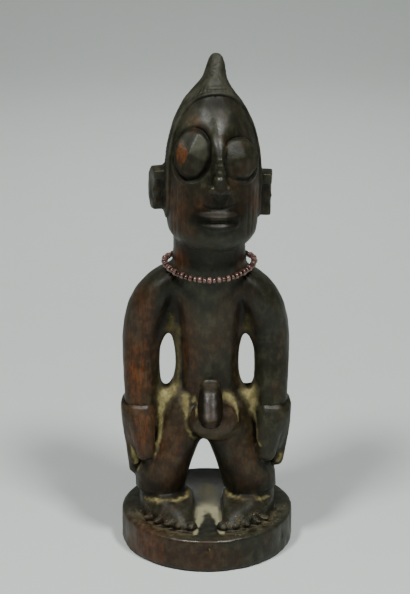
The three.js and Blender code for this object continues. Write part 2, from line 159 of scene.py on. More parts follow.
def newMaterial(name):
    material = bpy.data.materials.new(name)
    material.use_nodes = True
    tree = material.node_tree
    return material, tree, tree.nodes["Principled BSDF"]


def add(tree, kind, settings=None, **inputs):
    made = tree.nodes.new(kind)
    for key, value in (settings or {}).items():
        setattr(made, key, value)
    for key, value in inputs.items():
        socket = made.inputs[int(key[1:])] if key[0] == "i" and key[1:].isdigit() else made.inputs[key]
        if isinstance(value, bpy.types.NodeSocket):
            tree.links.new(value, socket)
        else:
            socket.default_value = value
    return made


def objectPlace(tree, stretch=(1, 1, 1)):
    place = add(tree, "ShaderNodeTexCoord").outputs["Object"]
    return add(tree, "ShaderNodeMapping", None, Vector=place, Scale=stretch).outputs[0]


def noise(tree, place, size, detail=4, rough=0.55):
    return add(tree, "ShaderNodeTexNoise", None, Vector=place, Scale=1 / (size * mm), Detail=detail,
               Roughness=rough).outputs["Fac"]


def painted(tree, name):
    return add(tree, "ShaderNodeAttribute", {"attribute_name": name}).outputs["Fac"]


def stretchRange(tree, value, low, high, newLow=0.0, newHigh=1.0):
    return add(tree, "ShaderNodeMapRange", {"interpolation_type": "SMOOTHSTEP"}, i0=value, i1=low, i2=high,
               i3=newLow, i4=newHigh).outputs[0]


def mixColours(tree, share, first, second):
    return add(tree, "ShaderNodeMix", {"data_type": "RGBA"}, i0=share, i6=first, i7=second).outputs[2]


def sums(tree, kind, first, second):
    return add(tree, "ShaderNodeMath", {"operation": kind}, i0=first, i1=second).outputs[0]


def hexColour(code):  # an sRGB code as a linear colour
    parts = [int(code[i:i + 2], 16) / 255 for i in (0, 2, 4)]
    linear = [c / 12.92 if c <= 0.04045 else ((c + 0.055) / 1.055) ** 2.4 for c in parts]
    return (*linear, 1)


# The carved figure

figureLook = {
    "voxel": 0.5,
    "triangles": 192000,
    "melt": (70, 0.5),  # rounds and weight of the smoothing that takes the CAD's facets out
    "keep": 0.05,  # its weight where small forms stay crisp
    "meltShoulders": (60, 0.5),
    "discSides": 36,
    "discWide": 44,  # the base's half width, near enough for patterns on its side
    "headFrom": 166,  # the height where the head begins
    "headPlace": (2.5, -3, 200),
    "headLean": 1.6,  # in degrees
    "headTurn": 7,
    "eyeLean": -0.34,  # in radians
    "eyeTurn": 0.4,
    "hairline": {"half": 23, "low": 2, "shoulder": (16.5, 22), "peak": 43.2, "nape": -22},  # on the head
    "hipIn": 2.6,  # how far the hip is drawn in beside the hole on the viewer's right
}
eyeLook = {  # side, middle on the head and half sizes of each eye, and how strong the painted shade on the line round it is
    "left": {"side": -1, "at": (-12.7, -18.8, 16.6), "wide": 9.4, "tall": 12.1, "ring": 0.8},
    "right": {"side": 1, "at": (10.8, -20.2, 14.4), "wide": 10.4, "tall": 9.9, "ring": 0.35},
}
carvingLook = {  # how deep each cut goes, or how high each swelling stands
    "swell": 0.16,
    "dimple": 0.09,
    "pit": 0.045,
    "hairStep": 1.2,
    "plaits": 34,  # ridges round the head
    "comb": 0.3,
    "hatch": 0.2,
    "hairEdge": 0.25,
    "tuft": 0.55,
    "flute": 0.32,
    "fluteStep": 8.5,  # degrees round the face
    "eyeCut": 0.4,
    "eyeLid": 0.5,
    "forehead": 1.1,
    "noseRing": 0.3,
    "noseRingStep": 2.9,
    "nostril": 0.9,
    "lipLine": 0.5,
    "toolCut": 0.25,
    "chip": 0.8,
    "memberRing": 0.4,
    "crust": 0.16,
}


def intoHead(points):
    lean = Matrix.Rotation(math.radians(figureLook["headLean"]), 3, "Y")
    turn = Matrix.Rotation(math.radians(figureLook["headTurn"]), 3, "Z")
    return (points - np.array(figureLook["headPlace"])) @ np.array(turn @ lean)


def turnIntoHead(ways):
    return intoHead(ways + np.array(figureLook["headPlace"]))


def eyeOval(head, name):  # below 1 inside the eye, how high on it, and the bearing clockwise from its top
    eye = eyeLook[name]
    turned = (Matrix.Rotation(eye["side"] * figureLook["eyeTurn"], 3, "Z")
              @ Matrix.Rotation(figureLook["eyeLean"], 3, "X"))
    local = (head - np.array(eye["at"])) @ np.array(turned)
    across, up = local[:, 0] / eye["wide"], local[:, 2] / eye["tall"]
    return np.hypot(across, up), up, np.degrees(np.arctan2(local[:, 0], local[:, 2])) % 360


def onFacet(head, name, low, high):  # 1 on one facet of an eye, between two bearings
    oval, _, bearing = eyeOval(head, name)
    turned = (bearing - low) % 360
    return band(turned, 0, high - low, 4) * (1 - ramp(oval, 0.86, 1.0)) * (head[:, 1] < -8)


def isHead(points):
    return points[:, 2] > figureLook["headFrom"]


def hairDepth(head, facing):  # how far inside the hair's outline a point lies, below 0 on the face
    line = figureLook["hairline"]
    hx, hy, hz = head.T
    t = np.linspace(0, 1, 25)
    bulge, rise = line["shoulder"]
    start, nearStart, nearEnd, end = (1 - t) ** 3, 3 * (1 - t) ** 2 * t, 3 * (1 - t) * t ** 2, t ** 3
    edgeX = line["half"] * (start + nearStart) + bulge * nearEnd
    edgeZ = line["low"] * start + rise * nearStart + line["peak"] * (nearEnd + end)
    edgeX, edgeZ = np.append(line["half"], edgeX), np.append(-60, edgeZ)  # down from its lowest point
    best = np.full(len(head), 1e9)
    slope = np.ones(len(head))
    for x0, z0, x1, z1 in zip(edgeX, edgeZ, edgeX[1:], edgeZ[1:]):
        ax, az = x1 - x0, z1 - z0
        share = np.clip(((np.abs(hx) - x0) * ax + (hz - z0) * az) / (ax * ax + az * az), 0, 1)
        dx, dz = np.abs(hx) - x0 - share * ax, hz - z0 - share * az
        away = np.hypot(dx, dz)
        along = (dx * facing[:, 0] * np.sign(hx) + dz * facing[:, 2]) / (away + 1e-6)
        nearer = away < best
        best = np.where(nearer, away, best)
        slope = np.where(nearer, np.sqrt(np.clip(1 - along ** 2, 0.03, 1)), slope)
    outside = np.abs(hx) > np.interp(hz, edgeZ, edgeX)
    inside = np.where(outside | (hz > line["peak"]), best, -best) / slope
    inside = np.where(hy > 0, np.maximum(inside, 20), inside)
    return np.minimum(inside, hz - line["nape"])


def onEar(head):
    hx, hy, hz = head.T
    return ramp(np.abs(hx), 24.2, 25.2) * band(hy, -9, 14, 1) * band(hz, -24, 7, 1)


def crispParts(points):  # 1 where small forms must not melt
    head = intoHead(points)
    hx, hy, hz = head.T
    x, y, z = points.T
    parts = {
        "nose": band(hx, -6, 6, 1.5) * band(hz, -3, 9, 2) * (hy < -26) * isHead(points),
        "mouth": 0.85 * band(hx, -13, 13, 2) * band(hz, -22, -8, 2) * (hy < -24) * isHead(points),
        "ears": onEar(head) * isHead(points),
        "hands": 0.9 * ramp(np.abs(x + 0.5), 25, 28) * band(z, 36, 79.5, 1.5),
        "toes": ramp(np.hypot(x, y), 27, 29) * (1 - ramp(z, 23, 25)) * (y < 6),
        "ankles": 0.9 * band(z, 28.4, 31.5, 0.8),
        "base": 1 - ramp(z, 18, 19),
    }
    for name in eyeLook:
        parts[name + "Eye"] = (1 - ramp(eyeOval(head, name)[0], 1.02, 1.2)) * (hy < -8) * isHead(points)
    return np.maximum.reduce(list(parts.values()))


def hairRelief(head, facing):  # its edge made sharp again, and hatched ridges that climb to the topknot
    look = carvingLook
    hx, hy, hz = head.T
    bare = 1 - onEar(head)
    for name in eyeLook:
        bare = bare * ramp(eyeOval(head, name)[0] + (hy > -8), 1.02, 1.2)
    inHair = hairDepth(head, facing)
    blurred = 0.5 + 0.5 * np.tanh(0.38 * inHair)
    push = look["hairStep"] * (ramp(inHair, -0.35, 0.35) - blurred) * ramp(hz, -22, -19)
    plait = np.arctan2(hx - 0.8, -(hy - 4.5)) / (2 * math.pi) * look["plaits"]
    groove = 0.5 - 0.5 * np.cos((plait + hz * 0.05) * 2 * math.pi)
    hatch = 0.5 + 0.5 * np.sin((plait * 2 - hz * 0.42) * 2 * math.pi)
    shallow = 1 - 0.7 * ramp(hz, 43, 47)  # on the topknot
    push -= ramp(inHair, 0.9, 2.6) * (look["comb"] * groove ** 2 * shallow + look["hatch"] * hatch)
    push += look["hairEdge"] * band(inHair, 0.5, 4.6, 0.5) * ramp(hz, 30, 36) * (hy < 0)
    tuft = 1 - ramp(np.abs(hx + 0.4) + 0.75 * (hz - 46), 4.2, 6)
    push += look["tuft"] * tuft * band(hz, 45.2, 52, 0.5) * (hy < 0)
    return push * bare


def cheekRelief(head):  # upright flutes
    hx, hy, hz = head.T
    around = np.degrees(np.arctan2(np.abs(hx), -(hy + 4.8)))
    flutes = (0.5 + 0.5 * np.cos((around - 40) / carvingLook["fluteStep"] * 2 * math.pi)) ** 2
    return -carvingLook["flute"] * flutes * band(around, 34, 70, 2) * band(hz, -24, -2, 3)


def eyeRelief(head):  # a cut line round each eye, and a low lid under it
    push = np.zeros(len(head))
    for name in eyeLook:
        oval, rise, _ = eyeOval(head, name)
        push -= carvingLook["eyeCut"] * np.exp(-((oval - 1.06) / 0.06) ** 2)
        push += carvingLook["eyeLid"] * np.exp(-((oval - 1.22) / 0.08) ** 2) * (1 - ramp(rise, -0.5, 0.3))
    return push * (head[:, 1] < -6)


def noseRelief(head):  # level rings cut across its ridge, and a flare above the wings
    hx, hy, hz = head.T
    ridge = (1 - ramp(np.abs(hx), 2.6, 4)) * band(hz, 7, 17, 1.5) * (hy < -22)
    wave = 0.5 + 0.5 * np.cos(hz / carvingLook["noseRingStep"] * 2 * math.pi)
    push = -carvingLook["noseRing"] * ridge * wave
    for side in (-1, 1):
        push += carvingLook["nostril"] * spot(head, (side * 3.6, -31, 4.6), (2.4, 4, 3.4))
    return push


def lipRelief(head):  # a hanging line cut above the upper lip
    hx, hy, hz = head.T
    height = -8.4 + 0.03 * hx ** 2
    line = np.exp(-((hz - height) / 0.8) ** 2) * (1 - ramp(np.abs(hx), 7, 10))
    return -carvingLook["lipLine"] * line * (hy < -24)


def baseRelief(points):  # broad upright tool cuts, and a chip in front
    x, y, z = points.T
    angle = np.arctan2(y, x)
    onSide = ramp(np.hypot(x, y), 42.5, 44) * (1 - ramp(z, 15.5, 17))
    unrolled = np.column_stack([np.cos(angle), np.sin(angle), z * 0.01]) * figureLook["discWide"]
    push = onSide * carvingLook["toolCut"] * lumps(unrolled, 3.4, 5)
    return push - carvingLook["chip"] * spot(points, (0.5, -44.6, 12.2), (0.8, 3, 1.5))


def onMember(points):  # 1 on the member's front
    x, y, z = points.T
    behind = np.interp(z, (72, 80, 88, 92), (22.5, 20.5, 16, 13))
    return band(x, -5.8, 9.4, 0.8) * ramp(-y - behind, 0, 3) * band(z, 72.6, 91.5, 1.2)


def carve(points, normals):  # the relief that the knife left, as one push along each point's normal
    look = carvingLook
    head, facing = intoHead(points), turnIntoHead(normals)
    z = points[:, 2]
    push = look["swell"] * lumps(points, 15, 2) + look["dimple"] * lumps(points, (3.6, 3.6, 6), 3)
    push += look["pit"] * lumps(points, 1.7, 4)
    onHead = hairRelief(head, facing)
    for relief in (cheekRelief, eyeRelief, noseRelief, lipRelief):
        onHead += relief(head)
    onHead += look["forehead"] * spot(head, (0, -24, 21), (15, 12, 8))
    push += onHead * ramp(z, figureLook["headFrom"] - 1, figureLook["headFrom"] + 3)
    push += baseRelief(points)
    push -= look["memberRing"] * np.exp(-((z - 75.4) / 0.7) ** 2) * onMember(points)
    push += look["crust"] * ramp(alongPaths(points, crustLook), 0.25, 0.6)
    return points + normals * push[:, None]


crustLook = {  # dried offering paste in the hollows: path, half thickness along it, strength
    "leftWeb": ([(-19.5, -4, 84.5), (-22.2, -4, 78), (-23.4, -6.4, 70.5), (-24.4, -9.2, 63.5),
                 (-25.4, -11, 56.5), (-27, -12.5, 50.5)], (5.6, 4.2, 2.6, 2.1, 1.7, 1.1), 1.0),
    "leftArmpit": ([(-18.4, -4, 126), (-18.2, -4, 118.5)], (1.8, 4.2), 0.6),
    "leftFlank": ([(-14.8, -4, 119), (-14.6, -4, 103), (-14.8, -4.4, 92), (-15.6, -5, 86)],
                  (2.4, 2.2, 2.2, 2.6), 0.55),
    "rightArmpit": ([(20.8, -5, 127), (21, -4, 118.5)], (1.8, 4.2), 0.55),
    "rightWeb": ([(22, -4, 83.5), (24.2, -4, 77.5), (25.2, -5, 71.5), (26.4, -11, 66), (28, -15, 58)],
                 (5.6, 4.4, 3, 2.2, 1.3), 0.95),
    "loinsLeft": ([(-11.4, -9.7, 82.4), (-10.7, -12, 76.2), (-10.2, -12.7, 68), (-7.4, -12.4, 61.6),
                   (-4, -9, 58.5)], (3, 2, 1.4, 1.4, 1), 0.85),
    "loinsBeside": ([(-6.4, -10, 81.5), (-5.4, -15.8, 76.4), (-5.1, -19.5, 71.5)], (2.2, 1.2, 0.8), 0.85),
    "loinsRight": ([(8.6, -9.6, 83.6), (12.6, -9.4, 81), (15.4, -11.4, 75.9), (15.9, -14.6, 71.4)],
                   (3.2, 2.8, 1.5, 1.1), 0.85),
    "loinsUnder": ([(14.6, -14, 66.5), (11.8, -16.4, 64), (7.7, -17.6, 62.4)], (1.8, 1.7, 1.3), 0.55),
    "leftFingers": ([(-39.4, -8, 58), (-38.3, -7.9, 51.7), (-36.5, -7.2, 45.7), (-36, -5.6, 40)],
                    (1.4, 2, 2.4, 2.4), 0.9),
    "rightFingers": ([(34.5, -12, 52.5), (38.4, -7.4, 48.7), (36.3, -7.4, 45.6)], (1.2, 1.9, 1.9), 0.8),
    "leftLedge": ([(-38, -6, 26), (-32.5, -14, 27), (-24.2, -19, 27.8), (-16.5, -18.6, 27.6),
                   (-10.6, -14, 27.4), (-9.4, -4, 28)], (1.3, 1.6, 1.6, 1.5, 1.6, 1.8), 0.85),
    "rightLedge": ([(9.2, -5, 28), (12.6, -14, 27.6), (19.7, -17.8, 28), (28.5, -16.8, 28), (34, -10, 27)],
                   (1.9, 1.6, 1.5, 1.4, 1.1), 0.8),
    "leftToes": ([(-37.6, -5, 17.6), (-34, -17, 17.6), (-26.6, -27.4, 17.6), (-17, -34.4, 17.6),
                  (-8, -37.6, 17.6)], (1.2, 1.7, 1.8, 1.8, 1.8), 0.4),
    "rightToes": ([(8, -37.6, 17.6), (17, -34.4, 17.6), (26.6, -27.4, 17.6), (34, -17, 17.6),
                   (37.6, -5, 17.6)], (1.8, 1.6, 1.5, 1.5, 1.1), 0.38),
    "nick": ([(0.4, -44.4, 13.6), (0.8, -44.4, 10.8)], (0.6, 0.5), 0.8),
}
paleLook = {  # greyish offering dust on the ground between the feet
    "rear": ([(-8, 32, 17.5), (10, 34, 17.5), (1, 18, 17.5)], (14, 14, 10), 0.12),
    "middle": ([(0.6, 20, 17.5), (0.6, 12, 17.5), (0.5, 6, 17.5)], (4, 6, 6), 0.85),
    "front": ([(0.5, 6, 17.5), (0.4, -7, 17.5)], (6, 7), 0.66),
    "leftStripe": ([(-3.6, -7, 17.5), (-4.6, -22, 17.6), (-6.4, -36, 17.6)], (3.2, 2.2, 1.6), 0.95),
    "rightStripe": ([(3.6, -7, 17.5), (6.2, -22, 17.6), (8.2, -36, 17.6)], (3.4, 2.3, 1.5), 1.0),
}
wearLook = {  # where handling has worn the dark skin to red-brown: centre, half sizes, strength
    "leftArm": ((-36, -7, 100), (6.5, 14, 24), 0.95),
    "leftArmLow": ((-35, -9, 86), (7, 12, 9), 0.5),
    "leftShoulder": ((-32, -10, 127), (5, 9, 12), 0.9),
    "leftHand": ((-34, -15, 64), (9, 11, 14), 0.9),
    "leftBase": ((-32, -32, 8), (15, 16, 11), 0.9),
    "leftBrow": ((-6, -18, 230.6), (3.2, 6, 4), 0.55),
    "leftCheek": ((-15, -25, 188), (7, 9, 15), 0.5),
    "rightCheek": ((25, -17, 189), (2.6, 8, 9), 0.45),
    "leftOfMouth": ((-3, -31, 194), (3.4, 5, 3), 0.4),
    "underRightEye": ((11, -29, 203), (5, 5, 3.4), 0.3),
    "chin": ((-7.4, -29.5, 179), (4, 5, 4), 0.45),
    "leftNeck": ((-13.5, -9.5, 158), (4.6, 8, 6), 0.9),
    "rightNeck": ((16.5, -7, 156), (3.6, 8, 6), 0.45),
    "flank": ((-9.5, -10, 105), (5.5, 8, 22), 0.42),
    "leftLeg": ((-18, -15, 50), (10, 10, 17), 0.5),
    "rightLeg": ((19, -15, 48), (9, 10, 12), 0.35),
    "pouch": ((3.4, -21, 66), (11, 9, 8), 0.8),
    "leftOfTrunk": ((-11, -9, 108), (4, 8, 20), 0.4),
    "baseFront": ((4, -44, 6), (20, 6, 8), 0.3),
    "seat": ((1, 20, 74), (18, 8, 12), 0.4),
    "backOfHead": ((3, 24, 196), (16, 8, 22), 0.3),
    "rightArmBack": ((34, 12, 104), (8, 10, 24), 0.35),
}
polishLook = {  # where it has been rubbed glossy
    "forehead": ((4, -20, 227), (8, 12, 9), 0.75),
    "nose": ((5, -34, 208), (4, 6, 12), 0.45),
    "lips": ((6.4, -36, 187.5), (4, 5, 6), 0.2),
    "member": ((1.8, -26, 82), (7, 9, 12), 1.0),
    "leftCuff": ((-34, -12, 77), (9, 6, 3), 0.55),
    "rightCuff": ((33.5, -12, 77), (5, 6, 3), 0.35),
    "belly": ((1, -12, 104), (10, 6, 20), 0.35),
    "rim": ((0, -43, 17), (30, 3, 2), 1.0),
}
paintedShadeLook = {  # painted shade: where the skin is painted darker to stand for shade, and made dull: centre, half sizes, strength
    "leftOfBridge": ((1.8, -26, 216), (2.4, 6, 8), 0.7),
    "rightOfBridge": ((9.8, -26, 213), (2, 6, 7), 0.55),
    "rightTemple": ((21, -8, 227), (7, 9, 9), 0.5),
    "foreheadTop": ((2, -13, 239.4), (16, 8, 4.6), 0.75),
    "foreheadRight": ((14, -15, 231), (4.6, 8, 9), 0.6),
    "bridge": ((4.8, -28, 218), (3, 6, 5), 0.55),
    "leftShoulder": ((-16, -8, 146), (8, 12, 6), 0.4),
    "rightShoulder": ((19, -8, 146), (8, 12, 6), 0.35),
    "rightCheek": ((17, -26, 195), (5.4, 7, 12), 0.6),
    "leftCheek": ((-7, -29, 199), (4.4, 6, 8), 0.45),
    "mouthLeft": ((-4.2, -34, 187), (8.4, 9, 7), 1.0),
    "mouthRight": ((16.2, -34, 187), (8.4, 9, 7), 1.0),
    "noseTip": ((6.4, -37, 204.5), (4, 6, 3.4), 0.6),
    "rearGround": ((0, 34, 17.5), (22, 22, 4), 0.85),
    "overLip": ((6, -32, 191.6), (7, 4, 2), 0.6),
    "underJaw": ((2, -20, 167), (18, 10, 2.6), 0.2),
    "leftAnkle": ((-24, -12, 33), (14, 14, 6), 0.7),
    "rightAnkle": ((24, -12, 33), (14, 14, 6), 0.7),
    "leftFoot": ((-24, -24, 22), (16, 12, 5), 0.45),
    "rightFoot": ((24, -24, 22), (16, 12, 5), 0.6),
}
facetLook = [  # the eyes' facets: eye, bearings, how much painted shade and how much painted highlight
    ("left", 14, 62, 0.2, 0.6),
    ("left", 62, 110, 0.42, 0.3),
    ("left", 112, 206, 0.4, 0),
    ("left", 322, 374, 0.5, 0),
    ("right", 0, 265, 0.3, 0),
    ("right", 266, 359, 0.32, 0),
]
sheenLook = {  # painted sheen: where the skin is painted a little paler to stand for light
    "chest": ((1, -13, 132), (11, 8, 15), 0.4),
    "throat": ((2, -18, 156), (8, 8, 8), 0.6),
    "chin": ((4, -30, 176), (8, 8, 6), 0.3),
    "foreheadLeft": ((-8, -14, 231), (6, 8, 9), 0.4),
    "pouch": ((3.4, -21, 65), (11, 9, 6), 0.9),
}


raggedEdge = [(0.9, 2.8, 21), (0.45, 1.2, 24)]  # how far the edge wanders, in lumps of what size, and seed


def alongPaths(points, look):
    ragged = points.copy()
    for reach, size, seed in raggedEdge:
        ragged += reach * np.column_stack([lumps(points, size, seed + axis) for axis in range(3)])
    amount = np.zeros(len(points))
    for path, thick, strength in look.values():
        amount = np.maximum(amount, strength * seam(ragged, path, thick))
    return amount


def inSpots(points, look):
    amount = np.zeros(len(points))
    for centre, size, strength in look.values():
        amount = np.maximum(amount, strength * spot(points, centre, size))
    return amount


def holeWalls(points):  # the inner faces of the two arm holes
    x, y, z = points.T
    across = np.abs(np.abs(x) - 20.2)
    return (1 - ramp(across, 4.6, 5.6)) * band(z, 80, 117, 1) * band(y, -3.4, 8.6, 0.6)


hollowRounds = [(24, 1), (120, 0.5)]  # rounds of smoothing that find small and broad hollows, and their share


def hollows(points, normals, edges):  # how deep each point lies in a hollow, below 0 on a ridge
    even = np.full(len(points), 0.5)
    depth = np.zeros(len(points))
    for rounds, share in hollowRounds:
        depth += share * ((relax(points, edges, even, rounds) - points) * normals).sum(1)
    return depth


def gritOn(points):  # round the toes, in patches
    x, y, z = points.T
    ground = band(z, 17, 24, 0.8) * band(np.hypot(x, y), 29, 42.6, 2)
    ground = ground * ramp(-y, -6, 2) * ramp(np.abs(x), 4, 9)
    return ground * ramp(lumps(points, 3.4, 33) + 0.5 * lumps(points, 1.5, 34), -0.5, 0.6)


def crustOn(points, grit):
    crust = np.maximum(alongPaths(points, crustLook), 0.45 * holeWalls(points))
    crumbs = 0.2 + 0.4 * lumps(points, 1.1, 31) + 0.25 * lumps(points, 2.8, 32)
    return np.maximum(crust, grit * crumbs)


def wearOn(points, head):
    patchy = 0.85 + 0.3 * lumps(points, (5, 5, 12), 9) + 0.12 * lumps(points, (1.6, 1.6, 5), 10)
    orange = onFacet(head, "left", 208, 316) * (0.85 + 0.3 * lumps(points, 2.5, 14))
    orange = orange * (1 - ramp(eyeOval(head, "left")[0], 0.62, 0.86))
    reddish = 0.18 * onFacet(head, "right", 110, 250)
    return np.maximum.reduce([inSpots(points, wearLook) * patchy, orange, reddish])


def oliveOn(points, normals):  # where the skin is green-black rather than brown
    x, z = points[:, 0], points[:, 2]
    areas = {
        "anywhere": 0.45 + 0.3 * lumps(points, (11, 11, 16), 13),
        "neck": 0.8 * ramp(z, 136, 146) * (1 - ramp(z, 182, 196)),
        "upperHead": ramp(z, 196, 208),
        "rightSide": ramp(x, 18, 30) * (z > 40),
        "rightOfBase": 0.9 * ramp(x, -12, 24) * (z < 20),
        "feet": 0.85 * band(z, 19, 33, 2),
        "ground": 0.85 * ramp(normals[:, 2], 0.6, 0.9) * (z < 24),
    }
    return np.maximum.reduce(list(areas.values()))


# painted shade: the listed places, the lips' ends, the member's sides and a ring round each eye
def paintedShadeOn(points, head, normals):
    hx, hy, hz = head.T
    # painted shade at the lips' ends, so that only their middle looks lit
    lipEndShade = ramp(np.abs(hx), 2.4, 4.6) * (1 - ramp(np.abs(hx), 8, 12)) * band(hz, -18, -10.5, 1.2)
    areas = {
        "spots": inSpots(points, paintedShadeLook),
        "lipEndShade": 0.85 * lipEndShade * (hy < -22) * isHead(points),
        # painted shade on the member's sides, darker where they turn sideways
        "member": onMember(points) * (0.2 + 0.8 * ramp(np.abs(normals[:, 0]), 0.22, 0.5)),
    }
    # painted shade in a ring round each eye
    for name, eye in eyeLook.items():
        oval = eyeOval(head, name)[0]
        ring = ramp(oval, 0.66, 0.98) * (1 - ramp(oval, 1.08, 1.28))
        areas[name + "Eye"] = eye["ring"] * ring * (hy < -6) * isHead(points)
    return np.maximum.reduce(list(areas.values()))


def stainAndShade(mesh):  # one attribute for each thing that lies on the wood, and for painted shade and painted sheen
    points, normals = pointsOf(mesh), normalsOf(mesh)
    head = intoHead(points)
    hollow = hollows(points, normals, edgesOf(mesh))
    grit = gritOn(points)
    paintedShadeAndDull, paleSheen = paintedShadeOn(points, head, normals), np.zeros(len(points))
    # painted shade and painted highlight on the eyes' facets, as light would fall on each
    for name, low, high, facetShade, facetSheen in facetLook:
        facet = onFacet(head, name, low, high)
        paintedShadeAndDull = np.maximum(paintedShadeAndDull, facetShade * facet)
        paleSheen += facetSheen * facet
    hair = ramp(hairDepth(head, turnIntoHead(normals)), -0.3, 0.5) * isHead(points) * (1 - onEar(head))
    paint(mesh, "crust", crustOn(points, grit))
    paint(mesh, "pale", alongPaths(points, paleLook) * (points[:, 2] < 22) * ramp(normals[:, 2], -0.1, 0.3))
    paint(mesh, "wear", wearOn(points, head))
    # painted sheen, and painted highlight on the eyes' lit facets
    paint(mesh, "paleSheen", np.maximum(paleSheen, inSpots(points, sheenLook)))
    # painted shade, which also makes the skin duller and less shiny
    paint(mesh, "paintedShadeAndDull", paintedShadeAndDull)
    paint(mesh, "grit", grit)
    paint(mesh, "polish", inSpots(points, polishLook))
    paint(mesh, "olive", oliveOn(points, normals))
    # painted shade in the hollows: the deeper a point lies in one, the darker its colour
    paint(mesh, "hollowShade", ramp(hollow, 0.1, 0.6))
    paint(mesh, "ridge", ramp(-hollow, 0.08, 0.7))
    paint(mesh, "hair", hair)


stainAndShadeNames = ("crust", "pale", "wear", "paleSheen", "paintedShadeAndDull", "grit", "polish", "olive", "hollowShade", "ridge", "hair")
woodLook = {
    "olive": hexColour("242416"),
    "brown": hexColour("322414"),
    "red": hexColour("412510"),
    "orange": hexColour("7e410e"),
    # near black for the grain's dark streaks and blotches, and for painted shade
    "deep": hexColour("0c0b07"),
    "grey": hexColour("4b4c40"),
    # greenish grey for the painted sheen and for random paler blotches
    "paleSheen": hexColour("5f6150"),
    "crustThin": hexColour("47412a"),
    "crust": hexColour("6b623d"),
    "crustPale": hexColour("8a8257"),
    "pale": hexColour("7b785e"),
    "grit": hexColour("5e5845"),
    "paleSpecks": hexColour("9a8b7c"),
    "rough": (0.36, 0.54),
    "polished": 0.18,  # how much smoother polished skin is
    "worked": 0.14,  # how much rougher hair and skin under painted shade are
    "matt": 0.4,  # how much rougher crust and dust are
    "shine": (0.25, 0.19),  # of clean skin, and how much of it goes where shade is painted
    "bumps": (0.4, 0.3),  # strength and height
}


def woodGrain(tree):  # the patterns that run all through it
    place = objectPlace(tree)
    return {
        "fibres": noise(tree, objectPlace(tree, (1, 1, 0.07)), 0.9, 5, 0.6),
        "broad": noise(tree, place, 30, 4, 0.5),
        "middle": noise(tree, objectPlace(tree, (1, 1, 0.6)), 7, 4, 0.5),
        "blotch": noise(tree, objectPlace(tree, (1, 1, 0.7)), 3.4, 5, 0.6),
        "fine": noise(tree, place, 1.3, 4, 0.55),
        "speckle": noise(tree, place, 0.8, 3, 0.6),
    }


def skinColour(tree, grain, stainsAndShade):  # olive black where it is darkest, brown and red where it is handled, with painted shade and painted sheen
    look = woodLook
    greener = stretchRange(tree, sums(tree, "ADD", stainsAndShade["olive"], grain["broad"]), 0.75, 1.25)
    colour = mixColours(tree, greener, look["brown"], look["olive"])
    colour = mixColours(tree, stretchRange(tree, grain["middle"], 0.5, 0.75, 0, 0.35), colour, look["red"])
    warm = mixColours(tree, stretchRange(tree, grain["fibres"], 0.38, 0.66), look["red"], look["orange"])
    worn = sums(tree, "MULTIPLY", stainsAndShade["wear"], stretchRange(tree, grain["middle"], 0.3, 0.6, 0.7, 1))
    colour = mixColours(tree, worn, colour, warm)
    colour = mixColours(tree, stretchRange(tree, grain["fibres"], 0.4, 0.75, 0, 0.4), colour, look["deep"])
    colour = mixColours(tree, stretchRange(tree, grain["blotch"], 0.42, 0.62, 0, 0.5), colour, look["deep"])
    # painted sheen, and random paler blotches
    paleSheen = sums(tree, "MULTIPLY", stainsAndShade["paleSheen"], 0.45)
    paleBlotchAndSheen = sums(tree, "ADD", stretchRange(tree, grain["blotch"], 0.5, 0.32, 0, 0.12), paleSheen)
    colour = mixColours(tree, paleBlotchAndSheen, colour, look["paleSheen"])
    worked = sums(tree, "MULTIPLY", stainsAndShade["hair"], stretchRange(tree, grain["middle"], 0.35, 0.65, 0, 0.4))
    colour = mixColours(tree, worked, colour, look["grey"])
    colour = mixColours(tree, sums(tree, "MULTIPLY", stainsAndShade["ridge"], 0.1), colour, look["grey"])
    # painted shade, first in the hollows and then at the shaded places, eye rings and facets
    colour = mixColours(tree, sums(tree, "MULTIPLY", stainsAndShade["hollowShade"], 0.7), colour, look["deep"])
    return mixColours(tree, sums(tree, "MULTIPLY", stainsAndShade["paintedShadeAndDull"], 0.8), colour, look["deep"])


def gritOver(tree, grain, stainsAndShade, colour):  # earthy, with pale specks
    look = woodLook
    earthy = sums(tree, "MULTIPLY", stainsAndShade["grit"], stretchRange(tree, grain["speckle"], 0.42, 0.62, 0, 0.5))
    colour = mixColours(tree, earthy, colour, look["grit"])
    specked = sums(tree, "MULTIPLY", stainsAndShade["grit"], stretchRange(tree, grain["fine"], 0.6, 0.68, 0, 0.5))
    return mixColours(tree, specked, colour, look["paleSpecks"])


def crustOver(tree, grain, stainsAndShade, colour):  # thin and dark at its edges, and the dust on the ground
    look = woodLook
    fine, blotch = grain["fine"], grain["blotch"]
    ragged = sums(tree, "ADD", stainsAndShade["crust"], stretchRange(tree, fine, 0, 1, -0.14, 0.14))
    paste = mixColours(tree, stretchRange(tree, blotch, 0.36, 0.62), look["crustPale"], look["crust"])
    paste = mixColours(tree, stretchRange(tree, fine, 0.52, 0.72, 0, 0.55), paste, look["crustThin"])
    colour = mixColours(tree, stretchRange(tree, ragged, 0.14, 0.5, 0, 0.85), colour, look["crustThin"])
    colour = mixColours(tree, stretchRange(tree, ragged, 0.42, 0.85), colour, paste)
    dusty = sums(tree, "ADD", stainsAndShade["pale"], stretchRange(tree, fine, 0, 1, -0.12, 0.12))
    chalk = stretchRange(tree, dusty, 0.15, 0.75)
    matt = sums(tree, "MAXIMUM", stretchRange(tree, ragged, 0.14, 0.5), chalk)
    return mixColours(tree, chalk, colour, look["pale"]), matt


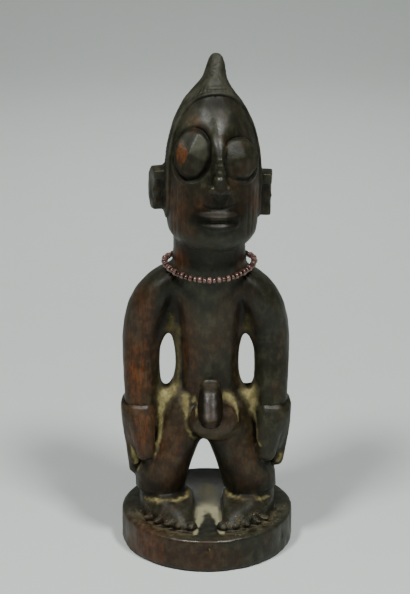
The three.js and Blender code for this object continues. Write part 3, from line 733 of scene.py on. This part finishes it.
def woodRoughness(tree, grain, stainsAndShade, matt):
    look = woodLook
    rough = stretchRange(tree, grain["middle"], 0.3, 0.7, *look["rough"])
    rough = sums(tree, "SUBTRACT", rough, sums(tree, "MULTIPLY", stainsAndShade["polish"], look["polished"]))
    dull = sums(tree, "MAXIMUM", stainsAndShade["hair"], stainsAndShade["paintedShadeAndDull"])
    rough = sums(tree, "ADD", rough, sums(tree, "MULTIPLY", dull, look["worked"]))
    return sums(tree, "ADD", rough, sums(tree, "MULTIPLY", matt, look["matt"]))


def woodBumps(tree, grain, stainsAndShade):  # calmer where it is polished, rougher in the grit
    fibres, fine = sums(tree, "MULTIPLY", grain["fibres"], 0.5), sums(tree, "MULTIPLY", grain["fine"], 0.7)
    relief = sums(tree, "ADD", sums(tree, "ADD", fibres, fine), grain["blotch"])
    calm = sums(tree, "SUBTRACT", 1.0, sums(tree, "MULTIPLY", stainsAndShade["polish"], 0.65))
    gritty = sums(tree, "MULTIPLY", stainsAndShade["grit"], grain["fine"])
    relief = sums(tree, "ADD", sums(tree, "MULTIPLY", relief, calm), gritty)
    strength, height = woodLook["bumps"]
    return add(tree, "ShaderNodeBump", None, Strength=strength, Distance=height * mm, Height=relief).outputs[0]


def woodMaterial():
    material, tree, shader = newMaterial("handledDarkWood")
    grain = woodGrain(tree)
    stainsAndShade = {name: painted(tree, name) for name in stainAndShadeNames}
    colour = gritOver(tree, grain, stainsAndShade, skinColour(tree, grain, stainsAndShade))
    colour, matt = crustOver(tree, grain, stainsAndShade, colour)
    tree.links.new(colour, shader.inputs["Base Color"])
    tree.links.new(woodRoughness(tree, grain, stainsAndShade, matt), shader.inputs["Roughness"])
    shine, lost = woodLook["shine"]
    shine = sums(tree, "SUBTRACT", shine, sums(tree, "MULTIPLY", stainsAndShade["paintedShadeAndDull"], lost))
    tree.links.new(shine, shader.inputs["Specular IOR Level"])
    tree.links.new(woodBumps(tree, grain, stainsAndShade), shader.inputs["Normal"])
    return material


memberFront = ((71, 72, 74, 77, 90, 92), (-25.6, -28, -30.4, -31, -20.6, -15.3))  # heights, and y at each


def memberShift(points):  # draws the member's front to one straight slope
    x, y, z = points.T
    heights = np.arange(70.5, 92.6, 0.5)
    middle = (np.abs(x - 1.8) < 1.5) & (y < -10)
    front = np.array([y[middle & (np.abs(z - height) < 0.5)].min() for height in heights])
    shift = np.clip(np.interp(heights, *memberFront) - front, -3, 3)
    shift = np.convolve(np.pad(shift, 2, "edge"), np.full(5, 0.2), "valid")
    return np.interp(z, heights, shift) * onMember(points)


def wrappedFigure():  # one even mesh round the CAD solid
    shape = bmesh.new()
    shape.from_mesh(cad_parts["carved_figure"].data)
    bmesh.ops.remove_doubles(shape, verts=shape.verts, dist=0.01 * mm)
    mesh = bpy.data.meshes.new("carvedFigure")
    shape.to_mesh(mesh)
    shape.free()
    piece = newPiece("carvedFigure", mesh)
    wrap = piece.modifiers.new("wrap", "REMESH")
    wrap.mode = "VOXEL"
    wrap.voxel_size = figureLook["voxel"] * mm * 1
    settle(piece)
    return piece


def roundedDisc(points):  # the base's flats become one round
    x, y, z = points.T
    half = 180 / figureLook["discSides"]
    offSide = (np.degrees(np.arctan2(y, x)) % (2 * half)) - half
    rounder = np.cos(np.radians(offSide)) / math.cos(math.radians(half))
    onDisc = ramp(np.hypot(x, y), 42, 43.6) * (z < 18)
    points[:, :2] *= (1 + (rounder - 1) * onDisc)[:, None]
    return points


def softened(mesh):  # the CAD's facets melt away, and a few broad forms are put right
    points, edges = pointsOf(mesh), edgesOf(mesh)
    rounds, weight = figureLook["melt"]
    weights = weight + (figureLook["keep"] - weight) * crispParts(points)
    points = relax(points, edges, weights, rounds)
    shoulders = band(points[:, 2], 134, 152, 2) * ramp(np.abs(points[:, 0] - 1.2), 9, 14)
    rounds, weight = figureLook["meltShoulders"]
    points = relax(points, edges, weight * shoulders, rounds)
    points[:, 1] += memberShift(points)
    x, y, z = points.T
    hip = ramp(x, 13, 18) * (1 - ramp(x, 21.8, 23)) * ramp(y, 2, 9) * band(z, 74, 97, 5)
    points[:, 0] -= figureLook["hipIn"] * hip
    return roundedDisc(points)


def carvedFigure():
    piece = wrappedFigure()
    mesh = piece.data
    print("figure wrapped:", len(mesh.polygons), "faces")
    points = softened(mesh)
    movePoints(mesh, points)
    movePoints(mesh, carve(points, normalsOf(mesh)))
    print("figure carved")
    thin = piece.modifiers.new("thin", "DECIMATE")
    thin.ratio = min(1.0, figureLook["triangles"] / (2 * len(mesh.polygons)))
    mesh = settle(piece)
    mesh.polygons.foreach_set("use_smooth", [True] * len(mesh.polygons))
    stainAndShade(mesh)
    mesh.materials.clear()
    mesh.materials.append(woodMaterial())
    print("figure stained:", len(mesh.polygons), "faces")
    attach(piece, "root")
    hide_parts("carved_figure")


carvedFigure()


# The necklace

beadLook = {
    "wide": {"across": 3.4, "long": 2.1, "hole": 1.2, "colour": hexColour("5f3830"),
             "slot": "wide_bead_glass"},
    "narrow": {"across": 2.7, "long": 1.7, "hole": 1.2, "colour": hexColour("3d1c16"),
               "slot": "narrow_bead_glass"},
    # pale pink mixed into the glass in clouds, partly as its own colour and partly as painted glints
    "pale": hexColour("b89c8c"),
    "grime": hexColour("2a1210"),
    "rough": (0.18, 0.42),
    "coat": {"Coat Weight": 0.4, "Coat Roughness": 0.12},
    "vary": {"across": (0.95, 1.03), "long": (0.92, 1.04), "tilt": (-5, 5), "grime": (0, 0.45)},
    "around": 16,
    "pairs": 29,
}


def beadPlaces():
    names = []
    for pair in range(1, beadLook["pairs"] + 1):
        names += ["wide_bead_%02d" % pair, "narrow_bead_%02d" % pair]
    centres = []
    for name in names:
        low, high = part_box(name)
        centres.append((Vector(low) + Vector(high)) / 2)
    ways = [(centres[(i + 1) % len(names)] - centres[i - 1]).normalized() for i in range(len(names))]
    return names, centres, ways


def beadMaterial(kind):
    material, tree, shader = newMaterial(kind + "BeadGlass")
    place = objectPlace(tree)
    cloudy = noise(tree, place, 1.4, 4, 0.6)
    shade = painted(tree, "shade")
    colour = beadLook[kind]["colour"]
    # pale clouds in the glass, which also stand for painted glints
    pale = mixColours(tree, 0.5, colour, beadLook["pale"])
    mixed = mixColours(tree, stretchRange(tree, cloudy, 0.35, 0.7), colour, pale)
    mixed = mixColours(tree, shade, mixed, beadLook["grime"])
    tree.links.new(mixed, shader.inputs["Base Color"])
    tree.links.new(stretchRange(tree, cloudy, 0.3, 0.7, *beadLook["rough"]), shader.inputs["Roughness"])
    for name, value in beadLook["coat"].items():
        shader.inputs[name].default_value = value
    return material


def turnedBead(look, place, chance):  # one bead, spun from its section
    vary = beadLook["vary"]
    width = look["across"] * chance.uniform(*vary["across"]) / 2
    half = look["long"] * chance.uniform(*vary["long"]) / 2
    hole = look["hole"] / 2
    upper = [(width, 0), (width * 0.96, half * 0.52), (width * 0.78, half * 0.9),
             (hole + 0.16, half * 0.97), (hole, half * 0.72)]
    profile = [(radius, -along) for radius, along in upper[:0:-1]] + upper
    bead = bmesh.new()
    ring = [bead.verts.new((radius * mm, 0, along * mm)) for radius, along in profile]
    sides = [bead.edges.new(pair) for pair in zip(ring, ring[1:] + ring[:1])]
    bmesh.ops.spin(bead, geom=ring + sides, cent=(0, 0, 0), axis=(0, 0, 1), dvec=(0, 0, 0),
                   angle=2 * math.pi, steps=beadLook["around"], use_merge=True, use_duplicate=False)
    bmesh.ops.remove_doubles(bead, verts=bead.verts, dist=0.001 * mm)
    bmesh.ops.recalc_face_normals(bead, faces=bead.faces)
    tilt = Matrix.Rotation(math.radians(chance.uniform(*vary["tilt"])), 4, "X")
    bmesh.ops.transform(bead, matrix=place @ tilt, verts=bead.verts)
    return bead


def beads(kind, names, centres, ways, chance):
    look = beadLook[kind]
    string = bmesh.new()
    tone = string.verts.layers.float.new("shade")
    for name, centre, way in zip(names, centres, ways):
        if not name.startswith(kind):
            continue
        turn = way.to_track_quat("Z", "Y").to_matrix().to_4x4()
        bead = turnedBead(look, Matrix.Translation(centre) @ turn, chance)
        shade = chance.uniform(*beadLook["vary"]["grime"])
        copies = {}
        for vert in bead.verts:
            copies[vert] = string.verts.new(vert.co)
            copies[vert][tone] = shade
        for face in bead.faces:
            string.faces.new([copies[vert] for vert in face.verts]).smooth = True
        bead.free()
    mesh = bpy.data.meshes.new(kind + "Beads")
    string.to_mesh(mesh)
    string.free()
    piece = newPiece(kind + "Beads", mesh)
    mesh.materials.append(beadMaterial(kind))
    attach(piece, "root")
    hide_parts(*[name for name in names if name.startswith(kind)])


threadLook = {
    "thick": 0.7,
    "around": 10,  # sides of its section
    "between": 6,  # sections from bead to bead
    "plies": 3,
    "twist": 9,  # sections to a turn
    "furrow": 0.13,  # how deep the plies part, as a share of its radius
    "fluff": 0.3,
    "rough": 0.9,
    "colours": (hexColour("2c1812"), hexColour("563a2c")),
}


def threadMaterial():
    material, tree, shader = newMaterial("grimedCotton")
    place = objectPlace(tree)
    fluff = noise(tree, place, threadLook["fluff"], 4)
    colour = mixColours(tree, stretchRange(tree, fluff, 0.35, 0.65), *threadLook["colours"])
    tree.links.new(colour, shader.inputs["Base Color"])
    bumps = add(tree, "ShaderNodeBump", None, Strength=0.6, Distance=0.1 * mm, Height=fluff)
    tree.links.new(bumps.outputs[0], shader.inputs["Normal"])
    shader.inputs["Roughness"].default_value = threadLook["rough"]
    return material


def loopPoint(centres, at, share):  # a smooth loop through the beads' middles, and its direction
    before, here, after, beyond = [centres[(at + k) % len(centres)] for k in (-1, 0, 1, 2)]
    point = 0.5 * (2 * here + (after - before) * share
                   + (2 * before - 5 * here + 4 * after - beyond) * share ** 2
                   + (3 * here - before - 3 * after + beyond) * share ** 3)
    return point, ((after - before) * (1 - share) + (beyond - here) * share).normalized()


def thread(centres):
    look = threadLook
    tube = bmesh.new()
    rings = []
    for step in range(len(centres) * look["between"]):
        at, part = divmod(step, look["between"])
        point, way = loopPoint(centres, at, part / look["between"])
        turn = way.to_track_quat("Z", "Y").to_matrix().to_4x4()
        made = bmesh.ops.create_circle(tube, segments=look["around"], radius=look["thick"] / 2 * mm,
                                       matrix=Matrix.Translation(point) @ turn)
        for place, vert in enumerate(made["verts"]):
            lay = 2 * math.pi * (look["plies"] * place / look["around"] + step / look["twist"])
            vert.co = point + (vert.co - point) * (1 - look["furrow"] * (0.5 - 0.5 * math.cos(lay)))
        rings.append(list({edge for vert in made["verts"] for edge in vert.link_edges}))
    for first, second in zip(rings, rings[1:] + rings[:1]):
        bmesh.ops.bridge_loops(tube, edges=first + second)
    bmesh.ops.recalc_face_normals(tube, faces=tube.faces)
    for face in tube.faces:
        face.smooth = True
    mesh = bpy.data.meshes.new("necklaceThread")
    tube.to_mesh(mesh)
    tube.free()
    piece = newPiece("necklaceThread", mesh)
    mesh.materials.append(threadMaterial())
    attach(piece, "root")
    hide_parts("necklace_thread")


chance = np.random.default_rng(7)
beadNames, beadCentres, beadWays = beadPlaces()
for beadKind in ("wide", "narrow"):
    beads(beadKind, beadNames, beadCentres, beadWays, chance)
thread(beadCentres)
print("necklace strung")


# Studio

studioLook = {  # in metres, watts and degrees
    "paper": (hexColour("cad1cc"), hexColour("b8bbb8")),
    "paperHalf": 2.2,
    "paperCells": (24, 90),  # across and along it
    "paperUnder": 0.0002,  # how far it lies under the figure
    "paperGloss": {"Roughness": 0.85, "Specular IOR Level": 0.2},
    "sweep": (0.9, 0.5),  # where the paper starts to rise behind, and the radius of its curve
    "keys": [(-0.379, -0.452, 1.158), (0.379, -0.452, 1.158)],
    "keyAim": (0, 0, 0.1),
    "keySize": 0.2,
    "keyPower": 13.3,
    "sky": ((0.93, 0.95, 0.94, 1), 0.012),
    "back": {"place": (0, 0.7, 1.1), "aim": (0, 0.62, 0), "size": 0.5, "power": 0.48, "spread": 46},
    "between": {"place": (0, 0.62, 0.62), "aim": (0.001, 0.014, 0.0175), "size": 0.012,
                "power": 0.0011, "spread": 3},  # a thin beam from behind on the ground between the legs
}


def paperSweep():
    start, radius = studioLook["sweep"]
    across, lengthwise = studioLook["paperCells"]
    paper = bmesh.new()
    bmesh.ops.create_grid(paper, x_segments=across, y_segments=lengthwise, size=studioLook["paperHalf"])
    for vert in paper.verts:
        along = vert.co.y - start
        if along > 0:
            turn = min(along / radius, math.pi / 2)
            vert.co.y = start + radius * math.sin(turn)
            vert.co.z = radius * (1 - math.cos(turn)) + max(0, along - radius * math.pi / 2)
        vert.co.z -= studioLook["paperUnder"]
    for face in paper.faces:
        face.smooth = True
    mesh = bpy.data.meshes.new("paperSweep")
    paper.to_mesh(mesh)
    paper.free()
    piece = newPiece("paperSweep", mesh)
    material, tree, shader = newMaterial("palePaper")
    fleck = noise(tree, objectPlace(tree), 30, 4)
    colour = mixColours(tree, stretchRange(tree, fleck, 0.3, 0.7, 0, 0.06), *studioLook["paper"])
    tree.links.new(colour, shader.inputs["Base Color"])
    for name, value in studioLook["paperGloss"].items():
        shader.inputs[name].default_value = value
    mesh.materials.append(material)


def lamp(name, place, aim, size, power, spread=180):
    light = bpy.data.lights.new(name, "AREA")
    light.shape = "SQUARE"
    light.size = size
    light.energy = power
    light.spread = math.radians(spread)
    holder = bpy.data.objects.new(name, light)
    scene.collection.objects.link(holder)
    holder.location = place
    holder.rotation_euler = (Vector(aim) - Vector(place)).to_track_quat("-Z", "Y").to_euler()


def sky():
    world = bpy.data.worlds.new("softSky")
    scene.world = world
    world.use_nodes = True
    background = world.node_tree.nodes["Background"]
    background.inputs["Color"].default_value, background.inputs["Strength"].default_value = studioLook["sky"]


# Metres, degrees, and millimetres for the lens and the sensor
cameraLook = {"place": (-0.001, -1.1, 0.5576), "pitch": 21.08, "lens": 140.6, "sensor": 36}


def photoCamera():
    data = bpy.data.cameras.new("photoCamera")
    data.lens = cameraLook["lens"]
    data.sensor_width = cameraLook["sensor"]
    camera = bpy.data.objects.new("photoCamera", data)
    scene.collection.objects.link(camera)
    camera.location = cameraLook["place"]
    camera.rotation_euler = (math.radians(90 - cameraLook["pitch"]), 0, 0)
    scene.camera = camera


paperSweep()
for number, keyPlace in enumerate(studioLook["keys"]):
    lamp("key%d" % number, keyPlace, studioLook["keyAim"], studioLook["keySize"], studioLook["keyPower"])
lamp("backWash", **studioLook["back"])
lamp("betweenLegs", **studioLook["between"])
sky()
photoCamera()
print("studio set")
